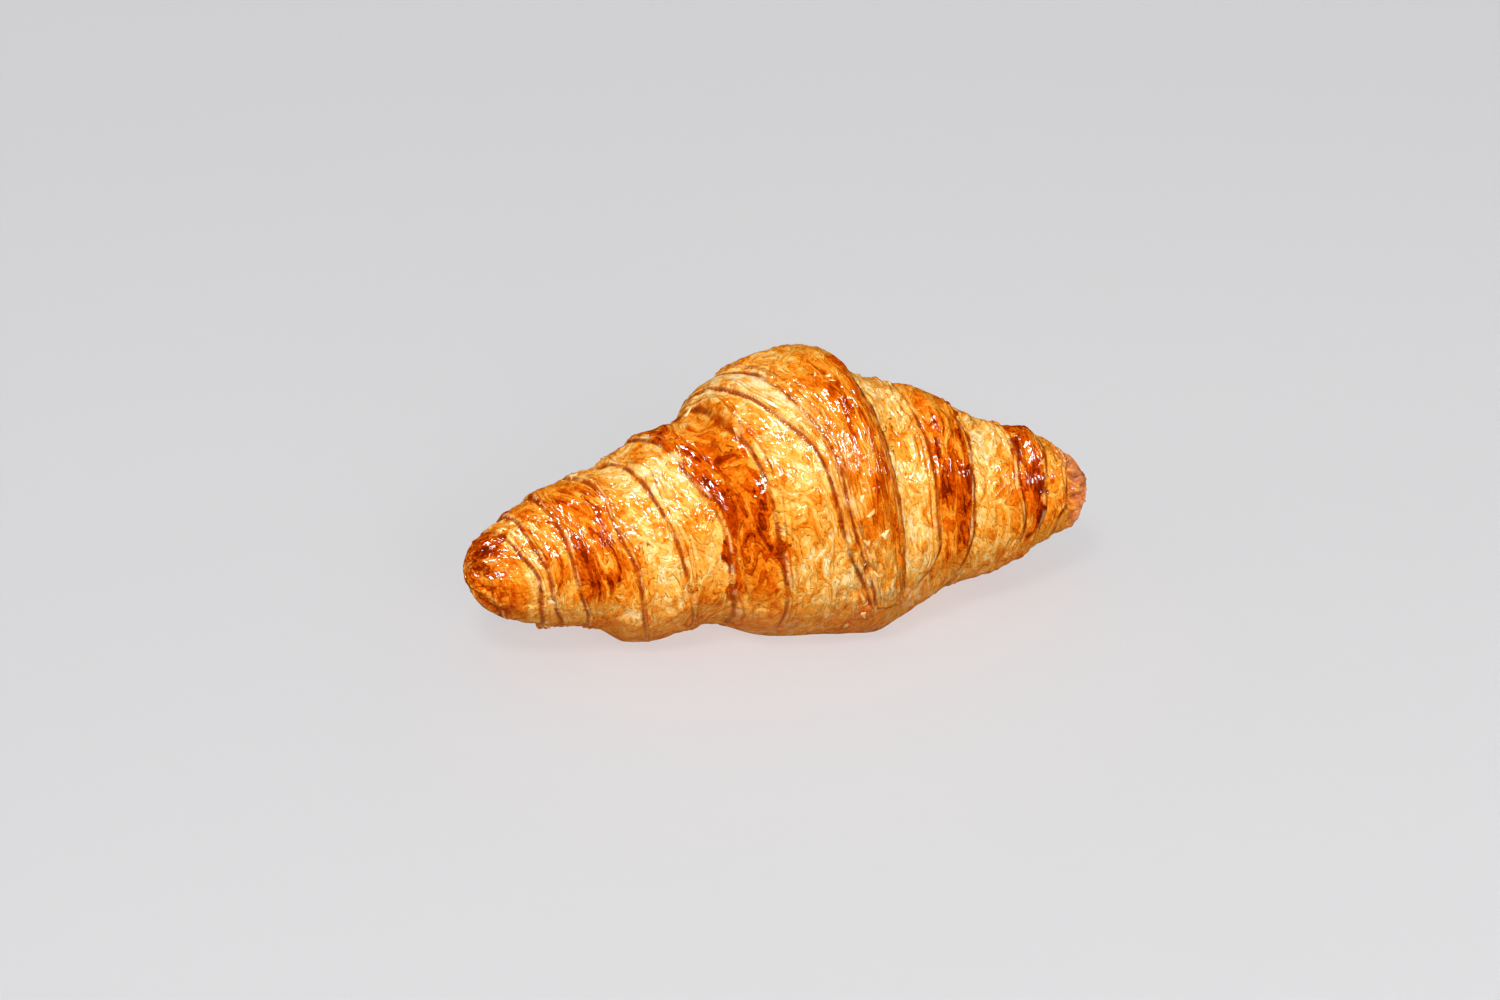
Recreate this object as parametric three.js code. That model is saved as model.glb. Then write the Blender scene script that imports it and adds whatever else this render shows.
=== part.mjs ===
// A butter croissant: one piece of laminated dough, rolled up from its broad end and baked in one.
// Millimetres, +Z up. +X runs along the roll, -Y is the front, where the point of the dough ends.
// The origin lies on the surface that the croissant rests on, below the middle of its outline.

import * as THREE from 'three';
import { mergeVertices } from 'three/addons/utils/BufferGeometryUtils.js';

// Driving dimensions of the plain body, before the rolled layers are added.
const LENGTH = 166; // tip to tip
const DEPTH_RATIO = 1.07; // front to back, against bottom to top
const TIP_BOW = 8; // how far the tips lie in front of the middle
const TIP_ROUNDING = 0.085; // share of each half that rounds off into the tip

// Half the height of the body along the roll: [x, radius].
const BODY_RADIUS = [
  [-83, 8.1], [-77, 10], [-66, 15.5], [-50, 19.8], [-41, 23.2], [-34, 25.4], [-28, 25.7],
  [-21, 26.2], [-14, 31.2], [-8, 33.9], [4, 35.9], [17, 36.9], [28, 31.2], [40, 26.9], [50, 22.8], [62, 17.8],
  [72, 13.5], [78, 9.8], [83, 7.7],
];

// How far the body's lowest point is above the surface it rests on: [x, lift].
// Where the lift is negative, the dough has settled into a flat underside.
const UNDERSIDE_LIFT = [
  [-83, 16.6], [-74, 11.4], [-66, 7.6], [-58, 5.9], [-50, 3.8], [-43, -1.3], [-36, -2], [-22, 0.2],
  [-8, -4.7], [6, -6.4], [20, -8], [27, -5.9], [34, -2.5], [41, 0.7], [55, 3.2], [62, 6.3],
  [70, 10.9], [77, 13.5], [83, 18.1],
];

// The roll ends at the point of the dough, low on the front and right of the middle.
const POINT_X = 19;
const POINT_ANGLE = -25; // degrees round the body: 0 is the front, 90 the top, 180 the back
const EDGE_SLANT = 0.1; // how far the edges lean along the roll, per millimetre of radius
const TURNS = 5;

// Each turn of the roll shows two stepped edges on each arm, because the dough was laminated.
// An edge is given as [turns back from the point, distance from the point, height of its step].
const LEFT_EDGES = [
  [
    [0, 6, 1], [0.07, 11, 1.3], [0.19, 14.5, 1.4], [0.26, 18, 1.6], [0.42, 26, 1.8], [1.07, 30, 1],
    [1.35, 36.8, 1.8], [2.07, 52, 1.5], [2.35, 60, 1.6], [3.07, 77, 1.5], [3.35, 82, 1.3],
    [4.07, 87, 1.5], [4.35, 94.5, 1.4], [5, 104, 0.8],
  ],
  [
    [0, 7.5, 1], [0.07, 13.5, 1.5], [0.19, 18.2, 1.6], [0.32, 30, 1.9], [0.42, 35, 2], [1.07, 41, 1.1],
    [1.35, 51, 1.3], [2.07, 63, 0.5], [2.35, 70, 1.2], [3.07, 84, 0.6], [3.35, 89, 1],
    [4.07, 98, 0.8], [4.35, 103, 0.6], [5, 107, 0.4],
  ],
];
const RIGHT_EDGES = [
  [
    [0, 3, 1], [0.07, 1.5, 1.8], [0.35, 2.5, 3], [1.07, 23, 1.1], [1.35, 30, 1.2], [2.07, 46, 1.3],
    [2.35, 52, 1.1], [3.07, 64, 0.8], [4, 70, 0.5], [5, 74, 0.5],
  ],
  [
    [0, 4.5, 1], [0.07, 13.8, 1.8], [0.35, 15.5, 2.2], [1.07, 39, 1.3], [1.35, 43, 1.4], [2.07, 53, 1.2],
    [2.35, 59, 1.2], [3.07, 67, 0.7], [4, 72, 0.5], [5, 76, 0.5],
  ],
];
const LIP_REACH = 1.8; // width over which a step rises, against its height
const HUMP_LIP_REACH = 3; // the same for the last wrap, which bulges into a rounded hump
const WIDEST_LIP = 0.6; // widest that a step may be, as a share of its band
const BAND_CROWN = 0.14; // how much each band of dough puffs up between its edges
const MIN_BAND = 0.5; // narrowest band of dough between two edges

// Low on the front, the layers are pressed into the body: degrees round it, and how strongly.
const SEAL_ANGLE = -43;
const SEAL_HALF_WIDTH = 14;
const SEAL_FADE = 16;
const SEAL_STRENGTH = 0.8;

// Fineness of the faceted surface.
const SEGMENTS_ALONG = 120;
const SEGMENTS_AROUND = 52;

const CRUST = new THREE.MeshStandardMaterial({ color: '#d98a3d', roughness: 0.38, metalness: 0 });

// Smooth curve through points [at, value] that never overshoots them.
function smoothCurve(points, at) {
  const last = points.length - 1;
  const x = THREE.MathUtils.clamp(at, points[0][0], points[last][0]);
  let i = 0;
  while (i < last - 1 && x > points[i + 1][0]) i += 1;
  const span = (k) => points[k + 1][0] - points[k][0];
  const rise = (k) => (points[k + 1][1] - points[k][1]) / span(k);
  const slope = (k) => {
    if (k === 0) return rise(0);
    if (k === last) return rise(last - 1);
    const before = rise(k - 1);
    const after = rise(k);
    return before * after > 0 ? (2 * before * after) / (before + after) : 0;
  };
  const u = (x - points[i][0]) / span(i);
  const startPart = points[i][1] * (1 + 2 * u) * (1 - u) ** 2 + span(i) * slope(i) * u * (1 - u) ** 2;
  const endPart = points[i + 1][1] * u * u * (3 - 2 * u) + span(i) * slope(i + 1) * u * u * (u - 1);
  return startPart + endPart;
}

// Distance from the point and step height of one edge, a number of turns back along the roll.
function edgeAt(edge, turns) {
  const back = Math.min(turns, TURNS);
  const stepPoints = edge.map(([turn, , step]) => [turn, step]);
  return { distance: smoothCurve(edge, back), step: smoothCurve(stepPoints, back) };
}

// How far a band has dropped at a distance from its edge, because its lip is rounded.
function lipDrop(toEdge, step, reach, band) {
  const lip = Math.min(reach * step, WIDEST_LIP * band);
  return step * (1 - Math.min(1, toEdge / lip)) ** 2;
}

// How far the rolled layers stand above the plain body, at one place on it.
function layerHeight(x, angle, radius) {
  const fromPoint = x - EDGE_SLANT * radius * Math.cos(THREE.MathUtils.degToRad(angle)) - POINT_X;
  const turn = THREE.MathUtils.euclideanModulo(angle - POINT_ANGLE, 360) / 360;
  const left = edgeAt(LEFT_EDGES[0], turn);
  const right = edgeAt(RIGHT_EDGES[0], turn);
  const toLeft = left.distance + fromPoint;
  const toRight = right.distance - fromPoint;
  if (toLeft >= 0 && toRight >= 0) {
    const width = left.distance + right.distance;
    const top = (left.step * toRight + right.step * toLeft) / width / 2;
    const leftDrop = lipDrop(toLeft, left.step, HUMP_LIP_REACH, width);
    return top - leftDrop - lipDrop(toRight, right.step, HUMP_LIP_REACH, width);
  }
  const edges = fromPoint < 0 ? LEFT_EDGES : RIGHT_EDGES;
  const distance = Math.abs(fromPoint);
  let inner = fromPoint < 0 ? left : right;
  for (let count = 1; count < 2 * TURNS; count += 1) {
    const outer = edgeAt(edges[count % 2], Math.floor(count / 2) + turn);
    outer.distance = Math.max(outer.distance, inner.distance + MIN_BAND);
    if (distance < outer.distance) {
      const band = outer.distance - inner.distance;
      const share = (outer.distance - distance) / band;
      const slope = (outer.step * (1 - share) - inner.step * share) / 2;
      const crown = BAND_CROWN * outer.step * 4 * share * (1 - share);
      return slope + crown - lipDrop(outer.distance - distance, outer.step, LIP_REACH, band);
    }
    inner = outer;
  }
  return 0;
}

// How much the layers are pressed flat, from 0 to 1, where the roll was sealed low on the front.
function sealing(along, angle) {
  const away = Math.abs(THREE.MathUtils.euclideanModulo(angle - SEAL_ANGLE + 180, 360) - 180);
  const beyond = Math.max(0, away - SEAL_HALF_WIDTH) / SEAL_FADE;
  return SEAL_STRENGTH * Math.exp(-(beyond ** 2)) * (1 - along ** 2);
}

// A point on the crust: `along` runs from -1 to 1 between the tips, `angle` in degrees round the body.
function crustPoint(along, angle) {
  const turned = THREE.MathUtils.degToRad(angle);
  const fromTip = Math.max(0, (Math.abs(along) - 1 + TIP_ROUNDING) / TIP_ROUNDING);
  const rounding = Math.sqrt(Math.max(0, 1 - fromTip ** 2));
  const straightX = (along * LENGTH) / 2;
  const lean = EDGE_SLANT * smoothCurve(BODY_RADIUS, straightX) * Math.cos(turned) * (1 - along ** 2);
  const x = straightX + lean;
  const radius = smoothCurve(BODY_RADIUS, x);
  const layers = layerHeight(x, angle, radius) * (1 - sealing(along, angle));
  const reach = (radius + layers) * rounding;
  const middleY = TIP_BOW * (1 - along ** 2);
  const middleZ = radius + smoothCurve(UNDERSIDE_LIFT, x);
  return new THREE.Vector3(
    x,
    middleY - DEPTH_RATIO * reach * Math.cos(turned),
    Math.max(0, middleZ + reach * Math.sin(turned)),
  );
}

// A sphere with its poles at the two tips, each of its points moved onto the crust.
function crustGeometry() {
  const sphere = new THREE.SphereGeometry(1, SEGMENTS_AROUND, SEGMENTS_ALONG);
  sphere.rotateZ(-Math.PI / 2);
  sphere.deleteAttribute('normal');
  sphere.deleteAttribute('uv');
  const geometry = mergeVertices(sphere);
  const position = geometry.getAttribute('position');
  for (let i = 0; i < position.count; i += 1) {
    const onSphere = new THREE.Vector3().fromBufferAttribute(position, i);
    const along = 1 - (2 * Math.acos(THREE.MathUtils.clamp(onSphere.x, -1, 1))) / Math.PI;
    const angle = THREE.MathUtils.radToDeg(Math.atan2(onSphere.z, -onSphere.y));
    const point = crustPoint(along, angle);
    position.setXYZ(i, point.x, point.y, point.z);
  }
  geometry.computeBoundingBox();
  const middle = geometry.boundingBox.getCenter(new THREE.Vector3());
  geometry.translate(-middle.x, -middle.y, 0);
  geometry.computeVertexNormals();
  return geometry;
}

const croissant = new THREE.Mesh(crustGeometry(), CRUST);
croissant.name = 'croissant';

const model = new THREE.Group();
model.add(croissant);

export default model;
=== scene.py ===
import math

import bpy
import numpy as np
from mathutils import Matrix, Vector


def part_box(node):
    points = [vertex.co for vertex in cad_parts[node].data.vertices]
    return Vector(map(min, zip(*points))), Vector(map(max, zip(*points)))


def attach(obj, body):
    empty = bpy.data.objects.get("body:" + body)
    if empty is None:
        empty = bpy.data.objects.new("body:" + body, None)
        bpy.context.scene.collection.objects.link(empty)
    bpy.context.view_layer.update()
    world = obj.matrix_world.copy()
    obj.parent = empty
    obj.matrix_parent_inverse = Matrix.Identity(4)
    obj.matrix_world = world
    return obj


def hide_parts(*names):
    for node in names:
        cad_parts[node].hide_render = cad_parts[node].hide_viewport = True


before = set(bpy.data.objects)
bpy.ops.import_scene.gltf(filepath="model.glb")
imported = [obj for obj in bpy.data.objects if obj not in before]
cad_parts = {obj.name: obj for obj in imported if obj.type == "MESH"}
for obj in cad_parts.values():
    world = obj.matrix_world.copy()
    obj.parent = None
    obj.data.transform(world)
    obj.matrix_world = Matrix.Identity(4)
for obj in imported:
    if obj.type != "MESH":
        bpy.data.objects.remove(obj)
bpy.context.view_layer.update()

# ----------------------------------------------------------------------------------------------
# The croissant's crust. Laminated dough, rolled up from its broad end to its point and baked in
# one piece, so the whole outside is one closed skin. It rests on its own flat underside.
# ----------------------------------------------------------------------------------------------
MM = 0.001

# The plain body in millimetres: its length from tip to tip, its depth against its height, how far
# the tips lie in front of the middle, and the share of each half that rounds off into the tip.
LENGTH = 166.0
DEPTH_RATIO = 1.07
TIP_BOW = 8.0
TIP_ROUNDING = 0.085

# Along the roll, half the height of the body, and how far its lowest point is above the table.
# Where that is negative, the dough has settled into a flat underside.
BODY_RADIUS = [
    (-83, 8.1), (-77, 10), (-66, 15.5), (-50, 19.8), (-41, 23.2), (-34, 25.4), (-28, 25.7),
    (-21, 26.2), (-14, 31.2), (-8, 33.9), (4, 35.9), (17, 36.9), (28, 31.2), (40, 26.9),
    (50, 22.8), (62, 17.8), (72, 13.5), (78, 9.8), (83, 7.7),
]
UNDERSIDE_LIFT = [
    (-83, 16.6), (-74, 11.4), (-66, 7.6), (-58, 5.9), (-50, 3.8), (-43, -1.3), (-36, -2),
    (-22, 0.2), (-8, -4.7), (6, -6.4), (20, -8), (27, -5.9), (34, -2.5), (41, 0.7), (55, 3.2),
    (62, 6.3), (70, 10.9), (77, 13.5), (83, 18.1),
]

# The roll ends at the point of the dough, low on the front. Going back from it, each turn shows
# two stepped edges on each arm: (turns back, distance from the point, step height, browning).
# The browning belongs to the band of dough that starts at the edge and runs out to the tip.
POINT_X = 19.0
POINT_ANGLE = -25.0
EDGE_SLANT = 0.1
TURNS = 5
LEFT_EDGES = [
    [
        (0, 6, 1, 0.34), (0.07, 11, 1.3, 0.34), (0.19, 14.5, 1.4, 0.22), (0.26, 18, 1.6, 0.14),
        (0.42, 26, 1.8, 0.2), (1.07, 30, 1, 0.62), (1.35, 36.8, 1.8, 0.56), (2.07, 52, 1.5, 0.36),
        (2.35, 60, 1.6, 0.28), (3.07, 77, 1.5, 0.5), (3.35, 82, 1.3, 0.5), (4.07, 87, 1.5, 0.56),
        (4.35, 94.5, 1.4, 0.66), (5, 104, 0.8, 0.8),
    ],
    [
        (0, 7.5, 1, 0.4), (0.07, 13.5, 1.5, 0.36), (0.19, 18.2, 1.6, 0.3), (0.32, 30, 1.9, 0.26),
        (0.42, 35, 2, 0.3), (1.07, 41, 1.1, 0.3), (1.35, 51, 1.3, 0.24), (2.07, 63, 0.5, 0.56),
        (2.35, 70, 1.2, 0.54), (3.07, 84, 0.6, 0.34), (3.35, 89, 1, 0.26), (4.07, 98, 0.8, 0.7),
        (4.35, 103, 0.6, 0.8), (5, 107, 0.4, 0.8),
    ],
]
RIGHT_EDGES = [
    [
        (0, 3, 1, 0.36), (0.07, 1.5, 1.8, 0.36), (0.35, 2.5, 3, 0.3), (1.07, 23, 1.1, 0.36),
        (1.35, 30, 1.2, 0.3), (2.07, 46, 1.3, 0.42), (2.35, 52, 1.1, 0.42), (3.07, 64, 0.8, 0.55),
        (4, 70, 0.5, 0.6), (5, 74, 0.5, 0.6),
    ],
    [
        (0, 4.5, 1, 0.4), (0.07, 13.8, 1.8, 0.6), (0.35, 15.5, 2.2, 0.54), (1.07, 39, 1.3, 0.74),
        (1.35, 43, 1.4, 0.7), (2.07, 53, 1.2, 0.55), (2.35, 59, 1.2, 0.55), (3.07, 67, 0.7, 0.6),
        (4, 72, 0.5, 0.6), (5, 76, 0.5, 0.6),
    ],
]

# The hump of the last wrap browns more from left to right, and each other band browns more towards
# its outer edge.
HUMP_BROWNING = (0.36, 0.57)
EDGE_BROWNING = 0.16

# Each step rises over a rounded lip. Its reach is a multiple of the step's height, and at most a
# share of its band. Between its edges a band puffs up a little.
LIP_REACH = 0.95
HUMP_LIP_REACH = 3.0
WIDEST_LIP = 0.6
BAND_CROWN = 0.14
MIN_BAND = 0.5

# Nothing about the roll is quite even. Each of these waves over it is (number of the wave, bump
# length, count of waves): how far an edge strays, how its step swells, where the glaze ends, the
# crumpled dough, the folds of the bare end, and where the lips flake.
GIRTH = 220.0
BUMP_SPACING = 2.2
EDGE_WAVE = (4, 16, 7)
EDGE_STRAY = 0.7
STRAY_FADE = 10.0
SWELL_WAVE = (8, 13, 12)
EDGE_SWELL = (0.8, 0.5)
GLAZE_WAVE = (11, 4, 24)
RAGGED_GLAZE = 1.5
CRUMPLE_WAVE = (23, 2.4, 26)
BARE_FOLD_WAVE = (37, 2.6, 15)
FLAKING_WAVE = (31, 9, 12)

# Low on the front the layers are pressed into the body, and browned evenly: degrees round it.
SEAL_ANGLE = -43.0
SEAL_HALF_WIDTH = 14.0
SEAL_FADE = 16.0
SEAL_STRENGTH = 0.8
SEAL_BROWNING = 0.4
SEAL_EVENNESS = 0.9

# Patches that the oven browned more, or that stayed pale where the dough opened late:
# (x, degrees round the body, half length, half width in degrees, added browning).
OVEN_PATCHES = [
    (-82, 50, 5, 40, 0.34), (-80, -25, 5, 36, 0.36), (-55, 12, 7, 26, 0.28), (-49, 70, 7, 22, 0.1),
    (-17, 34, 7, 30, 0.14), (-14, 2, 6, 14, 0.14), (13, 45, 8, 50, 0.1), (2, 100, 14, 14, -0.05),
    (39, 30, 5, 40, 0.2), (65, 45, 6, 70, 0.1), (-30, 95, 9, 16, 0.08), (8, 78, 10, 14, 0.06),
    (-46, -10, 6, 16, -0.2), (12, -8, 12, 14, -0.12), (80, 20, 4, 90, 0.1),
]

# The ends of the roll are pinched, so they fold along the roll there.
TIP_FOLD_START = 0.84
TIP_FOLD_FULL = 0.97
TIP_FOLDS = (11, 7)
TIP_FOLD_TWIST = 9.0
TIP_FOLD_SHIFT = 1.7
FEWER_FOLDS_SHARE = 0.5
TIP_FOLD_HEIGHT = 0.45
TIP_FOLD_BROWNING = 0.1
TIP_FLATTENING = 0.7

# The last of the right end wasn't brushed with egg, so it stayed matt there.
BARE_FROM = 74.0
BARE_FADE = 4.0
BARE_FOLD_HEIGHT = 0.9
BARE_BROWNING = 0.22
BARE_FOLD_BROWNING = 0.2

# Where thin scraps of the top leaf come loose: along the lips, and round the point of the roll.
LIP_FLAKING = 0.5
LIP_FLAKING_WIDTH = 0.7
POINT_FLAKING = (4.0, 90.0)
FLAKES_PAST = 0.5
FLAKES_ABOVE = 6.0
FLAKES_BELOW = 0.5

# How far the wraps lean along the roll as they climb its front, up to the top.
WRAP_LEAN = [
    (-83, 8), (-60, 9.5), (-40, 11), (-20, 13), (0, 18), (14, 9), (25, -1), (50, -3), (83, -2),
]

# Round the point of the roll the dough is crumpled: (x, degrees, half length, half width, height).
CRUMPLE = (14.0, -8.0, 9.0, 22.0, 0.55)
CRUMPLE_BROWNING = 0.1

# Fineness of the skin, which is coarser underneath, where it is out of sight.
ROWS = 428
COLUMNS = 226
FIRST_ANGLE = -90.0
ANGLE_STEPS = 720
UNDERSIDE_ANGLES = (205.0, 335.0)
UNDERSIDE_COARSENESS = 0.5


def smooth_curve(points, at, column=1):
    """A smooth curve through points, which never overshoots them."""
    table = np.asarray(points, float)
    x, y = table[:, 0], table[:, column]
    span = np.diff(x)
    rise = np.diff(y) / span
    slope = np.zeros_like(y)
    same = rise[:-1] * rise[1:] > 0
    slope[1:-1][same] = (2 * rise[:-1] * rise[1:] / (rise[:-1] + rise[1:] + 1e-12))[same]
    slope[0], slope[-1] = rise[0], rise[-1]
    at = np.clip(at, x[0], x[-1])
    i = np.clip(np.searchsorted(x, at, side="right") - 1, 0, len(span) - 1)
    u = (at - x[i]) / span[i]
    start = y[i] * (1 + 2 * u) * (1 - u) ** 2 + span[i] * slope[i] * u * (1 - u) ** 2
    end = y[i + 1] * u * u * (3 - 2 * u) + span[i] * slope[i + 1] * u * u * (u - 1)
    return start + end


def bell(distance, width):
    """1 at no distance, and nearly 0 past two widths."""
    return np.exp(-((distance / width) ** 2))


def turned_away(angle, centre):
    """Degrees from a place round the body, between -180 and 180."""
    return np.mod(angle - centre + 180, 360) - 180


def wander(x, angle, wave):
    """An irregular wave over the roll, between about -1 and 1, given as (number, length, waves)."""
    number, length, waves = wave
    random = np.random.default_rng(number)
    most_around = round(GIRTH / (BUMP_SPACING * length))
    total = np.zeros_like(x)
    for _ in range(waves):
        along = random.normal(0, 2 * math.pi / (BUMP_SPACING * length))
        around = random.integers(-most_around, most_around + 1)
        total += np.sin(along * x + around * np.radians(angle) + random.uniform(0, 2 * math.pi))
    return total / math.sqrt(waves)


def rolled_layers(x, angle, radius, edge_wander, edge_swell=1.0):
    """Height of the layers over the plain body, their browning, and how near each edge is."""
    slanted = x - EDGE_SLANT * radius * np.cos(np.radians(angle)) - POINT_X
    slanted = slanted + edge_wander * np.clip(np.abs(slanted) / STRAY_FADE, 0, 1)
    turn = np.mod(angle - POINT_ANGLE, 360) / 360
    left_end = smooth_curve(LEFT_EDGES[0], turn)
    left_step = smooth_curve(LEFT_EDGES[0], turn, 2)
    right_end = smooth_curve(RIGHT_EDGES[0], turn)
    right_step = smooth_curve(RIGHT_EDGES[0], turn, 2)
    width = left_end + right_end
    to_left = slanted + left_end
    to_right = right_end - slanted
    height = (left_step * to_right + right_step * to_left) / width / 2
    for to_edge, step in ((to_left, left_step), (to_right, right_step)):
        lip = np.minimum(HUMP_LIP_REACH * step, WIDEST_LIP * width)
        height = height - step * (1 - np.clip(to_edge / lip, 0, 1)) ** 2
    across_hump = np.clip(to_left / width, 0, 1)
    browning = HUMP_BROWNING[0] + (HUMP_BROWNING[1] - HUMP_BROWNING[0]) * across_hump
    to_point = np.radians(np.abs(turned_away(angle, POINT_ANGLE))) * radius
    at_point = (slanted > -LEFT_EDGES[0][0][1]) & (slanted < RIGHT_EDGES[0][0][1])
    foot = np.minimum(np.abs(to_left), np.abs(to_right))
    foot = np.where(at_point, np.minimum(foot, to_point), foot)
    left_crest = np.abs(to_left - LIP_REACH * left_step)
    right_crest = np.abs(to_right - LIP_REACH * right_step)
    crest = np.minimum(left_crest, right_crest)
    for side, edges in ((-1, LEFT_EDGES), (1, RIGHT_EDGES)):
        distance = side * slanted
        inner = smooth_curve(edges[0], turn)
        inner_step = smooth_curve(edges[0], turn, 2)
        tone = smooth_curve(edges[0], turn, 3)
        for count in range(1, 2 * TURNS):
            edge = edges[count % 2]
            back = np.minimum(count // 2 + turn, TURNS)
            outer = np.maximum(smooth_curve(edge, back), inner + MIN_BAND)
            step = smooth_curve(edge, back, 2) * edge_swell
            here = (distance >= inner) & (distance < outer)
            width = outer - inner
            to_edge = outer - distance
            share = np.clip(to_edge / width, 0, 1)
            lip = np.minimum(LIP_REACH * step, WIDEST_LIP * width)
            crown = BAND_CROWN * step * 4 * share * (1 - share)
            surface = (step * (1 - share) - inner_step * share) / 2 + crown
            surface = surface - step * (1 - np.clip(to_edge / lip, 0, 1)) ** 2
            height = np.where(here, surface, height)
            browning = np.where(here, tone + EDGE_BROWNING * (0.5 - share), browning)
            foot = np.where(here, np.minimum(to_edge, distance - inner), foot)
            if side < 0 and count == 1:
                calm = here * np.clip(np.minimum(to_edge, distance - inner), 0, 1)
            crest = np.where(here, to_edge - lip, crest)
            inner = outer
            inner_step = step
            tone = smooth_curve(edge, back, 3)
    return height, browning, foot, crest, calm


def skin_grid():
    """Where the points of the skin lie: share of the way to each tip, and degrees round the body."""
    fine = np.linspace(0, 360, ANGLE_STEPS + 1)[:-1] + FIRST_ANGLE
    low, high = UNDERSIDE_ANGLES
    under = (np.mod(fine, 360) > low) & (np.mod(fine, 360) < high)
    share = np.cumsum(np.where(under, UNDERSIDE_COARSENESS, 1.0))
    share = (share - share[0]) / share[-1]
    angles = np.interp(np.arange(COLUMNS) / COLUMNS, share, fine)
    steps = np.linspace(-1, 1, ROWS + 2)[1:-1]
    into_tip = np.clip((np.abs(steps) - 1 + TIP_ROUNDING) / TIP_ROUNDING, 0, 1)
    steps = steps + np.sign(steps) * TIP_ROUNDING * (np.sin(into_tip * np.pi / 2) - into_tip)
    return np.meshgrid(steps, angles, indexing="ij")


def crust_shape():
    """Points of the crust in millimetres, as rows from tip to tip, and the values kept on each."""
    along, angle = skin_grid()
    turned = np.radians(angle)
    straight = along * LENGTH / 2
    lean = EDGE_SLANT * smooth_curve(BODY_RADIUS, straight) * np.cos(turned) * (1 - along**2)
    x = straight + lean
    radius = smooth_curve(BODY_RADIUS, x)
    stray = EDGE_STRAY * wander(x, angle, EDGE_WAVE)
    swell = EDGE_SWELL[0] + EDGE_SWELL[1] * np.clip(wander(x, angle, SWELL_WAVE), -1, 1)
    height, browning, foot, crest, calm = rolled_layers(x, angle, radius, stray, swell)
    ragged = stray + RAGGED_GLAZE * wander(x, angle, GLAZE_WAVE)
    browning = rolled_layers(x, angle, radius, ragged)[1]

    beyond_seal = np.clip(np.abs(turned_away(angle, SEAL_ANGLE)) - SEAL_HALF_WIDTH, 0, None)
    sealed = bell(beyond_seal, SEAL_FADE)
    height = height * (1 - SEAL_STRENGTH * sealed * (1 - along**2))
    browning = browning + (SEAL_BROWNING - browning) * sealed * SEAL_EVENNESS

    tip = (np.abs(along) - TIP_FOLD_START) / (TIP_FOLD_FULL - TIP_FOLD_START)
    tip = np.clip(tip, 0, 1)
    many, few = TIP_FOLDS
    folds = np.sin(many * turned + TIP_FOLD_TWIST * along)
    folds = folds + FEWER_FOLDS_SHARE * np.sin(few * turned + TIP_FOLD_SHIFT)
    height = height * (1 - TIP_FLATTENING * tip) + TIP_FOLD_HEIGHT * folds * tip
    browning = browning - TIP_FOLD_BROWNING * folds * tip

    crumple_x, crumple_angle, half_length, half_angle, crumple_height = CRUMPLE
    crumpled = bell(x - crumple_x, half_length) * bell(angle - crumple_angle, half_angle)
    crumpled = crumpled * wander(x, angle, CRUMPLE_WAVE)
    height = height + crumple_height * crumpled
    browning = browning - CRUMPLE_BROWNING * crumpled

    bare = np.clip((x - BARE_FROM) / BARE_FADE, 0, 1)
    bare_folds = bare * wander(x, angle, BARE_FOLD_WAVE)
    height = height + BARE_FOLD_HEIGHT * bare_folds
    browning = browning + BARE_BROWNING * bare - BARE_FOLD_BROWNING * bare_folds

    from_tip = np.clip((np.abs(along) - 1 + TIP_ROUNDING) / TIP_ROUNDING, 0, 1)
    reach = (radius + height) * np.sqrt(1 - from_tip**2)
    lift = smooth_curve(UNDERSIDE_LIFT, x)
    y = TIP_BOW * (1 - along**2) - DEPTH_RATIO * reach * np.cos(turned)
    z = np.maximum(radius + lift + reach * np.sin(turned), 0)

    for at, round_at, patch_length, patch_angle, extra in OVEN_PATCHES:
        patch = bell(x - at, patch_length) * bell(turned_away(angle, round_at), patch_angle)
        browning = browning + extra * patch
    across = x - smooth_curve(WRAP_LEAN, x) * np.maximum(np.cos(turned), 0)
    flaking = LIP_FLAKING * bell(crest, LIP_FLAKING_WIDTH)
    flaking = flaking * (np.abs(wander(x, angle, FLAKING_WAVE)) > FLAKES_PAST)
    flaking = flaking * (browning < FLAKES_BELOW)
    flaking_length, flaking_angle = POINT_FLAKING
    round_point = bell(x - crumple_x, flaking_length) * bell(angle - crumple_angle, flaking_angle)
    flaking = flaking + round_point
    flaking = np.clip(flaking, 0, 1) * (z > FLAKES_ABOVE)
    kept = {
        "browning": browning, "foot": foot, "crest": crest, "across": across, "calm": calm,
        "tip": tip, "bare": bare, "flaking": flaking,
    }
    return np.stack([x, y, z], -1), kept


def closed_skin(name, points, tips):
    """A mesh of rows of points round a body, closed by one point at each tip."""
    rows, columns = points.shape[:2]
    corners = np.concatenate([points.reshape(-1, 3), tips])
    first, last = rows * columns, rows * columns + 1
    index = np.arange(rows * columns).reshape(rows, columns)
    beside = np.roll(index, -1, axis=1)
    quads = np.stack([index[:-1], beside[:-1], beside[1:], index[1:]], -1).reshape(-1, 4)
    fans = [(first, b, a) for a, b in zip(index[0], beside[0])]
    fans += [(last, a, b) for a, b in zip(index[-1], beside[-1])]
    mesh = bpy.data.meshes.new(name)
    mesh.from_pydata(corners.tolist(), [], quads.tolist() + fans)
    mesh.validate()
    return mesh


def keep_on_points(mesh, name, values):
    """Stores one number per point, for the crust's relief and colour to read."""
    padded = np.concatenate([values.ravel(), [values[0].mean(), values[-1].mean()]])
    attribute = mesh.attributes.new(name, "FLOAT", "POINT")
    attribute.data.foreach_set("value", padded.astype(np.float32))


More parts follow.
